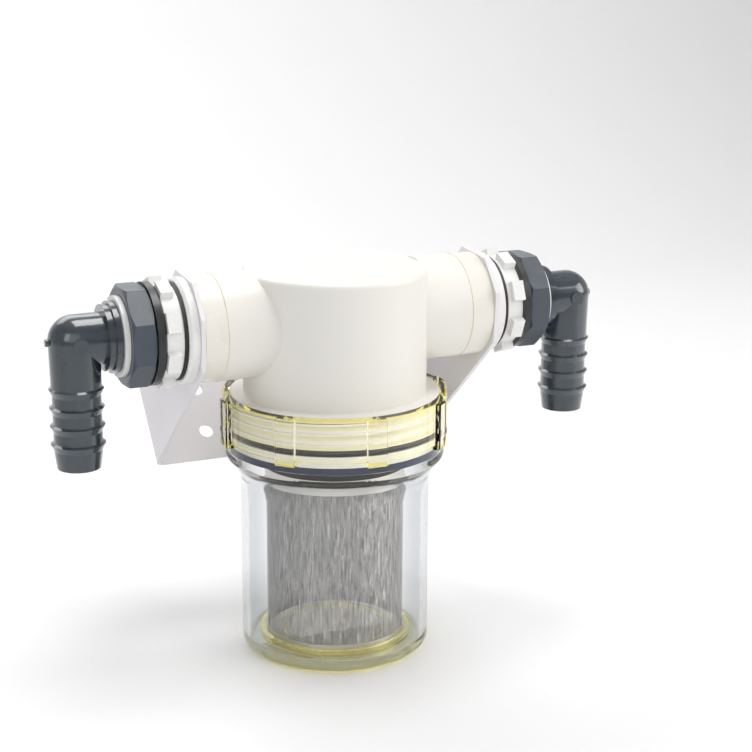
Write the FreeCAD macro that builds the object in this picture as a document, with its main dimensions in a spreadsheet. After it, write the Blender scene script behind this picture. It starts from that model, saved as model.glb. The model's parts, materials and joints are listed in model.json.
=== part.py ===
import FreeCAD, Part
import math
import os
import re

import Sketcher

# Sea water strainer: a moulded head with two hose elbows, a swinging wall bracket,
# and a clear bowl that screws up round a cylindrical screen.
# Frame: +Z up, +X along the ports, -Y the front. The origin is the centre of the bowl's base.
# Each port fitting is modelled once along its own +Z, with its own +X pointing down,
# and is then turned to the right-hand and left-hand side of the head.

Vector = FreeCAD.Vector
os.makedirs("parts", exist_ok=True)
doc = FreeCAD.newDocument("sea_water_strainer")

# ---------------------------------------------------------------- driving sizes, mm and degrees
SIZES = [
    ("runningGap", 0.3, "clearance round what turns or slides"),
    ("seatGap", 0.1, "clearance between faces that are pulled together"),
    # bowl
    ("bowlRadius", 50, "outside of the clear bowl"),
    ("bowlWall", 4, "wall of the bowl"),
    ("floorThickness", 7, "thick moulded floor"),
    ("baseCorner", 5.5, "rounded outer corner of the base"),
    ("flareHeight", 99.5, "where the straight wall starts to flare"),
    ("flareAngle", 45, "slope of the flare"),
    ("flareSweep", 18, "radius that blends the wall into the flare"),
    ("innerSweep", 9, "radius that blends the inside of the flare"),
    ("floorBlend", 1, "rounded corner between wall and floor, inside"),
    ("skirtRadius", 57.7, "outside of the skirt below the lugged band"),
    ("bandRadius", 59, "outside of the lugged band"),
    ("bandBottom", 118.6, "lower edge of the lugged band"),
    ("skirtTop", 141, "top rim of the bowl"),
    ("skirtBore", 55.2, "inside of the threaded skirt"),
    ("ledgeHeight", 111.6, "ledge that carries the gasket"),
    ("ledgeBore", 49.4, "throat below the ledge"),
    ("lugCount", 8, "grip lugs round the band"),
    ("lugWidth", 10.5, "width of a grip lug"),
    ("lugReach", 61.5, "outside of the grip lugs"),
    ("lugDrop", 2.2, "how far a lug reaches below the band"),
    ("lugTurn", -2, "angle of the first lug"),
    ("locatorGap", 0.9, "room between the screen and the locating ring"),
    ("locatorWidth", 2.6, "width of the ring that locates the screen"),
    ("locatorHeight", 3.2, "height of the ring that locates the screen"),
    ("dishRadius", 27, "inside of the raised ring on the floor"),
    ("dishWidth", 2.6, "width of the raised ring on the floor"),
    ("dishHeight", 2, "height of the raised ring on the floor"),
    ("gateRadius", 2.2, "moulding gate mark in the middle of the floor"),
    ("gateDepth", 0.4, "depth of the gate mark"),
    # seals of the bowl
    ("gasketThickness", 3.6, "flat gasket between bowl and head"),
    ("ringSection", 3.4, "section of the round seal on the neck"),
    ("ringHeight", 122.8, "middle of the round seal on the neck"),
    # head
    ("headRadius", 48, "outside of the head"),
    ("headTop", 206.9, "flat top of the head"),
    ("headCrown", 3, "rounded top edge"),
    ("headWall", 4, "wall of the head"),
    ("headRoof", 5, "roof of the head"),
    ("neckRadius", 53.4, "root of the neck's screw thread"),
    ("neckLand", 54.9, "plain lands at both ends of the thread"),
    ("neckLandHeight", 2.6, "height of a plain land"),
    ("neckTop", 141.2, "top face of the neck"),
    ("tubeRadius", 35.4, "outside of the inner tube"),
    ("tubeWall", 3, "wall of the inner tube"),
    ("tubeBottom", 97.5, "lower end of the inner tube"),
    ("shelfWidth", 3, "shelf above the screen's seal"),
    ("shelfThickness", 2.6, "shelf above the screen's seal"),
    # ports
    ("portHeight", 180.45, "height of the port axis"),
    ("stubRadius", 27.35, "outside of the port stubs"),
    ("stubEnd", 67, "how far a moulded stub reaches"),
    ("portBore", 15.5, "water way through the port"),
    ("socketRadius", 23.9, "socket for the glued bushing"),
    ("socketBottom", 50, "bottom of the socket"),
    ("bushingEnd", 79.2, "outer face of the bushing's flange"),
    ("nippleRadius", 19, "threaded nipple of the bushing"),
    # bracket
    ("bracketSheet", 2.2, "sheet of the bracket"),
    ("bracketDepth", 102, "port axis to the back of the bracket"),
    ("bracketHalfHeight", 29.5, "half the height of the bracket"),
    ("bracketNose", 28.5, "port axis to the tip of an ear"),
    ("earChamfer", 19, "slanted corners of an ear"),
    ("bracketBend", 5, "outside radius of the bends"),
    ("bracketTilt", 41, "how far the bracket hangs below level"),
    ("bracketHoleRadius", 4, "screw holes in the back"),
    ("bracketHoleSide", 49, "screw holes from the middle"),
    ("bracketHoleUp", 13, "screw holes above and below the middle"),
    ("earHoleRadius", 2.6, "small hole in each ear"),
    ("earHoleReach", 23.5, "small hole from the port axis"),
    ("earHoleAngle", 79, "small hole's angle below the ear's axis"),
    # fittings along a port
    ("flangeRingRadius", 27, "white ring against the bracket"),
    ("flangeRingThickness", 5.2, "white ring against the bracket"),
    ("ringGasketRadius", 24.7, "black gasket behind the lock nut"),
    ("ringGasketThickness", 2.1, "black gasket behind the lock nut"),
    ("lockNutRadius", 24.3, "body of the castellated lock nut"),
    ("lockNutLength", 8.8, "length of the lock nut"),
    ("lockLugCount", 8, "lugs round a lock nut"),
    ("lockLugReach", 27.5, "outside of the lock nut's lugs"),
    ("lockLugWidth", 10.4, "width of a lock nut lug"),
    ("lockLugLength", 6.6, "length of a lock nut lug"),
    ("darkRingRadius", 26, "dark ring beside the union nut"),
    ("darkRingThickness", 4.6, "dark ring beside the union nut"),
    ("unionSides", 8, "sides of the union nut"),
    ("unionCorner", 26.4, "union nut across its corners, halved"),
    ("unionLength", 12, "length of the union nut"),
    ("unionLip", 3, "lip that holds the elbow's flange"),
    ("unionChamfer", 2.4, "how far the chamfer cuts in from a corner"),
    ("unionChamferRise", 1.4, "how far it runs down that corner"),
    ("unionSealThickness", 1.6, "flat seal inside the union nut"),
    ("washerRadius", 20.3, "white washer outside the union nut"),
    ("washerThickness", 2.6, "white washer outside the union nut"),
    # elbow
    ("tailFlange", 18.6, "flange of the elbow inside the union nut"),
    ("tailFlangeThickness", 1.4, "flange of the elbow inside the union nut"),
    ("tailNeck", 16.2, "neck of the elbow through the union nut"),
    ("collarRadius", 18, "first step of the elbow's collar"),
    ("collarStep", 16.6, "second step of the elbow's collar"),
    ("collarLength", 3.2, "length of each step"),
    ("elbowShoulder", 0.7, "tube between the collar and the side of the spout"),
    ("elbowTube", 13, "outside of the elbow's tube"),
    ("elbowBore", 9.5, "water way of the elbow"),
    ("bossRadius", 3.7, "round boss on the corner of the elbow"),
    ("bossHeight", 0.8, "round boss on the corner of the elbow"),
    ("gateNubRadius", 1.9, "moulding nub at the end of the elbow"),
    ("gateNubHeight", 1.6, "moulding nub at the end of the elbow"),
    ("barbTube", 12.5, "tube above the barbs"),
    ("barbStart", 24, "port axis to the first barb"),
    ("barbPitch", 9.3, "from barb to barb"),
    ("barbCount", 4, "barbs on an elbow"),
    ("barbCrest", 13.6, "sharp crest of a barb"),
    ("barbRoot", 12.1, "root between barbs"),
    ("barbRise", 0.9, "steep side of a barb, towards the elbow"),
    ("barbFall", 3.2, "sloping side of a barb, towards the end"),
    ("barbTip", 10.9, "end of the elbow"),
    ("barbEnd", 64.6, "port axis to the end of the elbow"),
    # screen
    ("screenDrop", 8.5, "gasket's ledge down to the screen's top rim"),
    ("bandSheet", 0.5, "sheet of the screen's bands"),
    ("topBandHeight", 6.4, "upper band"),
    ("bottomBandHeight", 5, "lower band"),
    ("meshWall", 0.8, "thickness of the screen's wall"),
    ("meshColumns", 30, "columns of openings"),
    ("meshRows", 4, "rows of openings"),
    ("meshOpening", 5.9, "width of an opening"),
    ("meshBar", 1.6, "bar between two openings in a column"),
    ("sealWall", 2.6, "rubber ring on top of the screen"),
    ("sealHeight", 7.6, "rubber ring on top of the screen"),
]

sheet = doc.addObject("Spreadsheet::Sheet", "Sizes")
for row, (alias, value, note) in enumerate(SIZES, start=1):
    sheet.set(f"A{row}", str(value))
    sheet.setAlias(f"A{row}", alias)
    sheet.set(f"B{row}", note)
doc.recompute()
ALIAS = re.compile(r"\b(" + "|".join(alias for alias, value, note in SIZES) + r")\b")


def bound(text):
    """An expression on the sheet, from one written with bare aliases."""
    return ALIAS.sub(r"Sizes.\1", text)


def size(text):
    """The present value of such an expression."""
    return float(sheet.evalExpression(bound(text)))


# places that follow from the sizes above
CLOSE = 0.01
FLARE_HEIGHT = "((skirtRadius - bowlRadius) / tan(flareAngle))"
MESH_INNER = "(tubeRadius + runningGap)"
BAND_INNER = f"({MESH_INNER} + meshWall + seatGap / 2)"
SCREEN_RADIUS = f"({BAND_INNER} + bandSheet)"
NECK_BOTTOM = "(ledgeHeight + gasketThickness)"
SCREEN_TOP = "(ledgeHeight - screenDrop)"
SHELF = f"({SCREEN_TOP} + seatGap + sealHeight)"
EAR_INNER = "(bushingEnd + seatGap)"
EAR_OUTER = "(bushingEnd + seatGap + bracketSheet)"
RING_START = "(bushingEnd + 2 * seatGap + bracketSheet)"
GASKET_START = f"({RING_START} + flangeRingThickness)"
LOCK_START = f"({GASKET_START} + ringGasketThickness)"
DARK_START = f"({LOCK_START} + lockNutLength + seatGap)"
UNION_START = f"({DARK_START} + darkRingThickness + seatGap)"
UNION_END = f"({UNION_START} + unionLength)"
TAIL_START = f"({UNION_END} - unionLip - seatGap - tailFlangeThickness)"
NIPPLE_END = f"({TAIL_START} - seatGap - unionSealThickness)"
WASHER_START = f"({UNION_END} + seatGap)"
COLLAR_START = f"({WASHER_START} + washerThickness + seatGap)"
TUBE_START = f"({COLLAR_START} + 2 * collarLength)"
ELBOW_AXIS = f"({TUBE_START} + elbowShoulder + elbowTube)"


# ---------------------------------------------------------------- helpers
def newBody(label, lift=None):
    body = doc.addObject("PartDesign::Body", label)
    body.Label = label
    if lift:
        body.setExpression("Placement.Base.z", bound(lift))
    return body


def newSketch(body, name, role, offset=None, turn=None):
    sketch = body.newObject("Sketcher::SketchObject", name)
    plane = next(item for item in body.Origin.OriginFeatures if item.Role == role)
    sketch.AttachmentSupport = (plane, [""])
    sketch.MapMode = "FlatFace"
    if offset:
        sketch.setExpression("AttachmentOffset.Base.z", bound(offset))
    if turn:
        sketch.setExpression("AttachmentOffset.Rotation.Angle", bound(turn))
    return sketch


def fixPoint(sketch, line, end, corner):
    """Tie one end of a line to a place given by two expressions."""
    for kind, text in zip(("DistanceX", "DistanceY"), corner):
        index = sketch.addConstraint(Sketcher.Constraint(kind, -1, 1, line, end, size(text)))
        sketch.setExpression(f"Constraints[{index}]", bound(text))


def outline(sketch, corners):
    """A closed outline of straight lines whose corners are tied to the sheet."""
    places = [Vector(size(across), size(up), 0) for across, up in corners]
    first = sketch.GeometryCount
    count = len(places)
    for place, following in zip(places, places[1:] + places[:1]):
        sketch.addGeometry(Part.LineSegment(place, following), False)
    for step in range(count):
        sketch.addConstraint(Sketcher.Constraint(
            "Coincident", first + step, 2, first + (step + 1) % count, 1))
    for step, corner in enumerate(corners):
        fixPoint(sketch, first + step, 1, corner)


def circle(sketch, across, up, radius):
    index = sketch.addGeometry(
        Part.Circle(Vector(size(across), size(up), 0), Vector(0, 0, 1), size(radius)), False)
    fixPoint(sketch, index, 3, (across, up))
    constraint = sketch.addConstraint(Sketcher.Constraint("Radius", index, size(radius)))
    sketch.setExpression(f"Constraints[{constraint}]", bound(radius))


def axisLine(sketch, start, end):
    """A construction line to turn a section about."""
    line = sketch.addGeometry(Part.LineSegment(
        Vector(size(start[0]), size(start[1]), 0), Vector(size(end[0]), size(end[1]), 0)), True)
    fixPoint(sketch, line, 1, start)
    fixPoint(sketch, line, 2, end)


def turned(body, name, corners, cut=False, about=None):
    """A section in the XZ plane turned about local Z, or about a line of its own."""
    sketch = newSketch(body, f"{name}_section", "XZ_Plane")
    if about:
        axisLine(sketch, *about)
    outline(sketch, corners)
    kind = "PartDesign::Groove" if cut else "PartDesign::Revolution"
    feature = body.newObject(kind, name)
    feature.Profile = sketch
    feature.ReferenceAxis = (sketch, ["Axis0" if about else "V_Axis"])
    feature.Angle = 360
    doc.recompute()
    return feature


def extruded(body, name, sketch, length, cut=False, bothWays=False, backwards=False):
    kind = "PartDesign::Pocket" if cut else "PartDesign::Pad"
    feature = body.newObject(kind, name)
    feature.Profile = sketch
    feature.setExpression("Length", bound(length))
    if bothWays:
        feature.SideType = "Symmetric"
    feature.Reversed = backwards
    doc.recompute()
    return feature


def roundEdges(body, name, before, test, radius, kind="PartDesign::Fillet"):
    """Round or chamfer the edges of the last feature that a test picks out."""
    names = [f"Edge{number}" for number, edge in enumerate(before.Shape.Edges, start=1) if test(edge)]
    feature = body.newObject(kind, name)
    feature.Base = (before, names)
    feature.setExpression("Size" if kind.endswith("Chamfer") else "Radius", bound(radius))
    doc.recompute()
    return feature


def ringAt(radius, height):
    """Picks the full circle of one radius round local Z at one height."""
    def test(edge):
        curve = edge.Curve
        return (isinstance(curve, Part.Circle) and abs(curve.Radius - size(radius)) < CLOSE
                and abs(curve.Center.z - size(height)) < CLOSE and abs(curve.Center.x) < CLOSE)
    return test


def polar(body, name, features, count):
    pattern = body.newObject("PartDesign::PolarPattern", name)
    pattern.Originals = features
    axis = next(item for item in body.Origin.OriginFeatures if item.Role == "Z_Axis")
    pattern.Axis = (axis, [""])
    pattern.Angle = 360
    pattern.setExpression("Occurrences", bound(count))
    body.Tip = pattern
    doc.recompute()
    return pattern


def rectangle(left, low, right, high):
    return [(left, low), (right, low), (right, high), (left, high)]


def ring(label, inner, outer, low, high):
    """A plain ring about local Z."""
    body = newBody(label)
    turned(body, f"{label}_ring", rectangle(inner, low, outer, high))
    return body


# ---------------------------------------------------------------- bowl
def makeBowl():
    body = newBody("bowl")
    inside = "(bowlRadius - bowlWall)"
    innerFlare = "(flareHeight + bowlWall * tan(flareAngle / 2))"
    shoulder = f"(flareHeight + {FLARE_HEIGHT})"
    locator = f"({SCREEN_RADIUS} + locatorGap)"
    shell = turned(body, "bowl_shell", [
        ("0", "0"),
        ("bowlRadius", "0"),
        ("bowlRadius", "flareHeight"),
        ("skirtRadius", shoulder),
        ("skirtRadius", "bandBottom"),
        ("bandRadius", "bandBottom"),
        ("bandRadius", "skirtTop"),
        ("skirtBore", "skirtTop"),
        ("skirtBore", "ledgeHeight"),
        ("ledgeBore", "ledgeHeight"),
        ("ledgeBore", f"{innerFlare} + (ledgeBore - {inside}) / tan(flareAngle)"),
        (inside, innerFlare),
        (inside, "floorThickness"),
        (f"{locator} + locatorWidth", "floorThickness"),
        (f"{locator} + locatorWidth", "floorThickness + locatorHeight"),
        (locator, "floorThickness + locatorHeight"),
        (locator, "floorThickness"),
        ("dishRadius + dishWidth", "floorThickness"),
        ("dishRadius + dishWidth", "floorThickness + dishHeight"),
        ("dishRadius", "floorThickness + dishHeight"),
        ("dishRadius", "floorThickness"),
        ("gateRadius", "floorThickness"),
        ("gateRadius", "floorThickness - gateDepth"),
        ("0", "floorThickness - gateDepth"),
    ])
    rounded = roundEdges(body, "base_corner", shell, ringAt("bowlRadius", "0"), "baseCorner")
    rounded = roundEdges(body, "flare_blend", rounded, ringAt("bowlRadius", "flareHeight"), "flareSweep")
    rounded = roundEdges(body, "inner_blend", rounded, ringAt(inside, innerFlare), "innerSweep")
    rounded = roundEdges(body, "shoulder_blend", rounded, ringAt("skirtRadius", shoulder), "bowlWall")
    roundEdges(body, "floor_blend", rounded, ringAt(inside, "floorThickness"), "floorBlend")
    lugBottom = "(bandBottom - lugDrop)"
    lugInside = "((skirtBore + bandRadius) / 2)"
    sketch = newSketch(body, "lug_outline", "XY_Plane", lugBottom, "lugTurn")
    outline(sketch, rectangle(lugInside, "-lugWidth / 2", "lugReach", "lugWidth / 2"))
    lug = extruded(body, "lug", sketch, f"skirtTop - {lugBottom}")

    def outerEdge(edge):
        middle = edge.valueAt((edge.FirstParameter + edge.LastParameter) / 2)
        return math.hypot(middle.x, middle.y) > size("bandRadius") + 1 and edge.Length > size("lugDrop")
    polar(body, "lugs", [lug], "lugCount")
    roundEdges(body, "lug_edges", body.Tip, outerEdge, "(lugReach - bandRadius) / 4", "PartDesign::Chamfer")
    return body


def makeBowlGasket():
    return ring("bowl_gasket", "ledgeBore + runningGap", "skirtBore - runningGap",
                "ledgeHeight", NECK_BOTTOM)


def makeNeckRing():
    """Round seal in its groove on the head's neck."""
    ringRadius = "(skirtBore - seatGap - ringSection / 2)"
    torus = doc.addObject("Part::Torus", "neck_o_ring")
    torus.Label = "neck_o_ring"
    torus.setExpression("Radius1", bound(ringRadius))
    torus.setExpression("Radius2", bound("ringSection / 2"))
    torus.setExpression("Placement.Base.z", bound("ringHeight"))
    return torus


# ---------------------------------------------------------------- screen
def makeScreen():
    """A thin cylinder pierced by rows of openings, held at both ends by plain bands."""
    low = size("floorThickness + seatGap")
    high = size(SCREEN_TOP)
    inner = size(MESH_INNER)
    outer = inner + size("meshWall")
    centre = Vector(0, 0, low)
    wall = Part.makeCylinder(outer, high - low, centre).cut(Part.makeCylinder(inner, high - low, centre))
    bar = size("meshBar")
    width = size("meshOpening")
    rows = int(size("meshRows"))
    columns = int(size("meshColumns"))
    firstRow = low + size("bottomBandHeight") + bar
    tall = (high - size("topBandHeight") - firstRow) / rows - bar
    openings = []
    for column in range(columns):
        for row in range(rows):
            corner = Vector(inner - bar, -width / 2, firstRow + row * (tall + bar))
            opening = Part.makeBox(outer - inner + 2 * bar, width, tall, corner)
            opening.rotate(Vector(0, 0, 0), Vector(0, 0, 1), 360 * column / columns)
            openings.append(opening)
    mesh = doc.addObject("Part::Feature", "screen_mesh")
    mesh.Label = "screen_mesh"
    mesh.Shape = wall.cut(openings)
    bottom = "(floorThickness + seatGap)"
    bands = [
        ring("screen_bottom_band", BAND_INNER, SCREEN_RADIUS,
             bottom, f"{bottom} + bottomBandHeight"),
        ring("screen_top_band", BAND_INNER, SCREEN_RADIUS,
             f"{SCREEN_TOP} - topBandHeight", SCREEN_TOP),
    ]
    return [mesh] + bands


def makeScreenSeal():
    """Rubber ring between the screen's top rim and the shelf of the inner tube."""
    low = f"({SCREEN_TOP} + seatGap)"
    return ring("screen_seal", "tubeRadius + seatGap", "tubeRadius + seatGap + sealWall",
                low, f"{low} + sealHeight")


# ---------------------------------------------------------------- head
def makeHead():
    body = newBody("head")
    grooveDepth = "(skirtBore - seatGap - ringSection)"
    outside = turned(body, "outside", [
        ("0", NECK_BOTTOM),
        ("neckLand", NECK_BOTTOM),
        ("neckLand", "ringHeight - ringSection / 2"),
        (grooveDepth, "ringHeight - ringSection / 2"),
        (grooveDepth, "ringHeight + ringSection / 2"),
        ("neckLand", "ringHeight + ringSection / 2"),
        ("neckLand", "ringHeight + ringSection / 2 + neckLandHeight"),
        ("neckRadius", "ringHeight + ringSection / 2 + neckLandHeight"),
        ("neckRadius", "neckTop - neckLandHeight"),
        ("neckLand", "neckTop - neckLandHeight"),
        ("neckLand", "neckTop"),
        ("headRadius", "neckTop"),
        ("headRadius", "headTop"),
        ("0", "headTop"),
    ])
    sketch = newSketch(body, "stub_circle", "YZ_Plane")
    circle(sketch, "0", "portHeight", "stubRadius")
    stubs = extruded(body, "stubs", sketch, "2 * stubEnd", bothWays=True)
    roundEdges(body, "crown", stubs, crownEdge, "headCrown")
    turned(body, "flat_top", rectangle("0", "headTop", "headRadius - headCrown", "portHeight + 2 * stubRadius"),
           cut=True)
    inside = "(headRadius - headWall)"
    ceiling = "(headTop - headRoof)"
    tubeInside = "(tubeRadius - tubeWall)"
    turned(body, "annular_chamber", [
        ("tubeRadius", NECK_BOTTOM),
        (inside, NECK_BOTTOM),
        (inside, ceiling),
        ("tubeRadius", ceiling),
    ], cut=True)
    turned(body, "tube_bore", rectangle("0", NECK_BOTTOM, tubeInside, ceiling), cut=True)
    turned(body, "tube_end", [
        (tubeInside, "tubeBottom"),
        ("tubeRadius", "tubeBottom"),
        ("tubeRadius", SHELF),
        ("tubeRadius + shelfWidth", SHELF),
        ("tubeRadius + shelfWidth", f"{SHELF} + shelfThickness"),
        ("tubeRadius", f"{SHELF} + shelfThickness"),
        ("tubeRadius", f"{NECK_BOTTOM} + shelfThickness"),
        (tubeInside, f"{NECK_BOTTOM} + shelfThickness"),
    ])
    bridge = newSketch(body, "bridge_circle", "YZ_Plane", "-(headRadius - headWall / 2)")
    circle(bridge, "0", "portHeight", "portBore + tubeWall")
    extruded(body, "inlet_bridge", bridge, "headRadius - headWall / 2 - tubeRadius + tubeWall / 2")
    for name, side in (("left", -1), ("right", 1)):
        socket = newSketch(body, f"{name}_socket_circle", "YZ_Plane", f"{side} * socketBottom")
        circle(socket, "0", "portHeight", "socketRadius")
        extruded(body, f"{name}_socket", socket, "stubEnd", cut=True, backwards=side > 0)
    inlet = newSketch(body, "inlet_circle", "YZ_Plane", "-(tubeRadius - 2 * tubeWall)")
    circle(inlet, "0", "portHeight", "portBore")
    extruded(body, "inlet", inlet, "stubEnd", cut=True, backwards=False)
    outlet = newSketch(body, "outlet_circle", "YZ_Plane", "tubeRadius + tubeWall")
    circle(outlet, "0", "portHeight", "portBore")
    extruded(body, "outlet", outlet, "stubEnd", cut=True, backwards=True)
    return body


def crownEdge(edge):
    """The top edge of the head, between and beyond the stubs."""
    box = edge.BoundBox
    curve = edge.Curve
    return (isinstance(curve, Part.Circle) and abs(curve.Radius - size("headRadius")) < CLOSE
            and abs(box.ZMin - size("headTop")) < CLOSE and abs(box.ZMax - size("headTop")) < CLOSE)


# ---------------------------------------------------------------- bracket
def makeBracket():
    """A folded U of sheet that pivots on both ports, modelled level with its back at +Y, then tilted."""
    body = newBody("bracket", "portHeight")
    body.setExpression("Placement.Rotation.Axis.x", "1")
    body.setExpression("Placement.Rotation.Axis.y", "0")
    body.setExpression("Placement.Rotation.Axis.z", "0")
    body.setExpression("Placement.Rotation.Angle", bound("-bracketTilt"))
    sketch = newSketch(body, "folded_outline", "XY_Plane", "-bracketHalfHeight")
    outline(sketch, [
        (f"-{EAR_OUTER}", "-bracketNose"),
        (f"-{EAR_INNER}", "-bracketNose"),
        (f"-{EAR_INNER}", "bracketDepth - bracketSheet"),
        (EAR_INNER, "bracketDepth - bracketSheet"),
        (EAR_INNER, "-bracketNose"),
        (EAR_OUTER, "-bracketNose"),
        (EAR_OUTER, "bracketDepth"),
        (f"-{EAR_OUTER}", "bracketDepth"),
    ])
    sheetPad = extruded(body, "folded_sheet", sketch, "2 * bracketHalfHeight")

    def outerBend(edge):
        start, end = edge.Vertexes[0].Point, edge.Vertexes[-1].Point
        return (abs(start.z - end.z) > 1 and abs(abs(start.x) - size(EAR_OUTER)) < CLOSE
                and abs(start.y - size("bracketDepth")) < CLOSE)

    def innerBend(edge):
        start, end = edge.Vertexes[0].Point, edge.Vertexes[-1].Point
        return (abs(start.z - end.z) > 1 and abs(abs(start.x) - size(EAR_INNER)) < CLOSE
                and abs(start.y - size("bracketDepth - bracketSheet")) < CLOSE)

    def noseCorner(edge):
        start, end = edge.Vertexes[0].Point, edge.Vertexes[-1].Point
        return (abs(abs(start.x - end.x) - size("bracketSheet")) < CLOSE
                and abs(start.y + size("bracketNose")) < CLOSE)
    bend = roundEdges(body, "outer_bends", sheetPad, outerBend, "bracketBend")
    bend = roundEdges(body, "inner_bends", bend, innerBend, "bracketBend - bracketSheet")
    roundEdges(body, "ear_noses", bend, noseCorner, "earChamfer", "PartDesign::Chamfer")
    ears = newSketch(body, "port_holes", "YZ_Plane")
    circle(ears, "0", "0", "nippleRadius + runningGap")
    across = f"2 * ({EAR_OUTER} + runningGap)"
    extruded(body, "pivot_holes", ears, across, cut=True, bothWays=True)
    small = newSketch(body, "ear_holes_circle", "YZ_Plane")
    circle(small, "earHoleReach * cos(earHoleAngle)", "-earHoleReach * sin(earHoleAngle)", "earHoleRadius")
    extruded(body, "ear_holes", small, across, cut=True, bothWays=True)
    back = newSketch(body, "back_hole_circles", "XZ_Plane")
    for aside in ("-bracketHoleSide", "bracketHoleSide"):
        for up in ("-bracketHoleUp", "bracketHoleUp"):
            circle(back, aside, up, "bracketHoleRadius")
    extruded(body, "back_holes", back, "bracketDepth + runningGap", cut=True)
    return body


# ---------------------------------------------------------------- port fittings, along local +Z
def makeBushing(label):
    """Reducer glued into a stub, with the threaded nipple that all the fittings sit on."""
    body = newBody(label)
    turned(body, f"{label}_section", [
        ("portBore", "socketBottom + seatGap"),
        ("socketRadius - seatGap / 2", "socketBottom + seatGap"),
        ("socketRadius - seatGap / 2", "stubEnd + seatGap / 2"),
        ("stubRadius", "stubEnd + seatGap / 2"),
        ("stubRadius", "bushingEnd"),
        ("nippleRadius", "bushingEnd"),
        ("nippleRadius", NIPPLE_END),
        ("portBore", NIPPLE_END),
    ])
    return body


def makeFlangeRing(label):
    body = ring(label, "nippleRadius + seatGap / 2", "flangeRingRadius", RING_START, GASKET_START)
    roundEdges(body, f"{label}_edge", body.Tip, ringAt("flangeRingRadius", GASKET_START),
               "flangeRingThickness / 4", "PartDesign::Chamfer")
    return body


def makeRingGasket(label):
    return ring(label, "nippleRadius + seatGap / 2", "ringGasketRadius", GASKET_START, LOCK_START)


def makeLockNut(label):
    end = f"({LOCK_START} + lockNutLength)"
    body = ring(label, "nippleRadius + seatGap / 2", "lockNutRadius", LOCK_START, end)
    sketch = newSketch(body, f"{label}_lug_outline", "XY_Plane", f"{end} - lockLugLength",
                       "180 / lockLugCount")
    outline(sketch, rectangle("(nippleRadius + lockNutRadius) / 2", "-lockLugWidth / 2",
                              "lockLugReach", "lockLugWidth / 2"))
    lug = extruded(body, f"{label}_lug", sketch, "lockLugLength")
    polar(body, f"{label}_lugs", [lug], "lockLugCount")
    return body


def makeDarkRing(label):
    body = ring(label, "nippleRadius + seatGap / 2", "darkRingRadius", DARK_START,
                f"{DARK_START} + darkRingThickness")
    roundEdges(body, f"{label}_edge", body.Tip, ringAt("darkRingRadius", DARK_START),
               "darkRingThickness / 4", "PartDesign::Chamfer")
    return body


def makeUnionNut(label):
    """Octagon nut: threaded on the nipple, its lip holding the elbow's flange."""
    body = newBody(label)
    prism = body.newObject("PartDesign::AdditivePrism", f"{label}_prism")
    plane = next(item for item in body.Origin.OriginFeatures if item.Role == "XY_Plane")
    prism.AttachmentSupport = (plane, [""])
    prism.MapMode = "FlatFace"
    prism.setExpression("Polygon", bound("unionSides"))
    prism.setExpression("Circumradius", bound("unionCorner"))
    prism.setExpression("Height", bound("unionLength"))
    prism.setExpression("AttachmentOffset.Base.z", bound(UNION_START))
    prism.setExpression("AttachmentOffset.Rotation.Angle", bound("180 / unionSides"))
    doc.recompute()
    lip = f"({UNION_END} - unionLip)"
    threaded = "nippleRadius + seatGap / 2"
    turned(body, f"{label}_bore", [
        ("0", UNION_START),
        (threaded, UNION_START),
        (threaded, lip),
        ("tailNeck + seatGap", lip),
        ("tailNeck + seatGap", UNION_END),
        ("0", UNION_END),
    ], cut=True)
    for name, face, inward in (("inner", UNION_START, "+"), ("outer", UNION_END, "-")):
        turned(body, f"{label}_{name}_chamfer", [
            ("unionCorner - unionChamfer", face),
            ("unionCorner + unionChamfer", face),
            ("unionCorner + unionChamfer", f"{face} {inward} 2 * unionChamferRise"),
        ], cut=True)
    return body


def makeUnionSeal(label):
    return ring(label, "portBore", "nippleRadius - seatGap", NIPPLE_END,
                f"{NIPPLE_END} + unionSealThickness")


def makeWasher(label):
    return ring(label, "tailNeck + seatGap", "washerRadius", WASHER_START,
                f"{WASHER_START} + washerThickness")


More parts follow.
